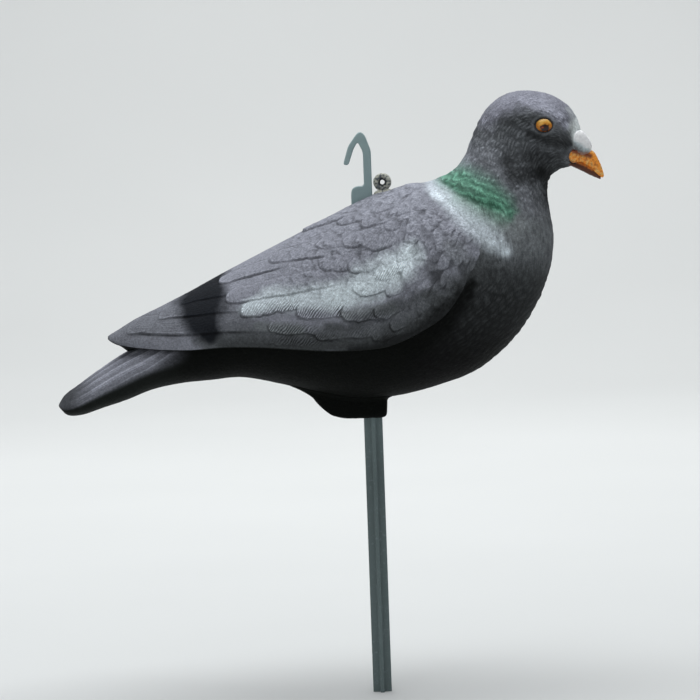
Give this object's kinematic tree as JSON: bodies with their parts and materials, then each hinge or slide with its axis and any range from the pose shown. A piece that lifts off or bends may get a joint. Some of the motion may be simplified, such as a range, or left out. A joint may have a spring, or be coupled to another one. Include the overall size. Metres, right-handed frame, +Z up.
{
  "type": "pigeon decoy",
  "caption": "Life-size standing pigeon decoy with carved plumage, on an upright ribbed ground stake that runs up through the body and ends in a hook above the back.",
  "frame": {"origin": "on the stake's axis at ground level, where the stake is cut off flat", "axes": "+Z up along the stake, +X towards the bird's head, +Y to the bird's left"},
  "size_m": [0.386, 0.1278, 0.4188],
  "materials": {
    "painted_bird": "matt speckled grey paint",
    "stake": "satin blue-grey"
  },
  "bodies": {
    "root": {"pigeon_body": "painted_bird", "ground_stake": "stake"}
  },
  "joints": []
}
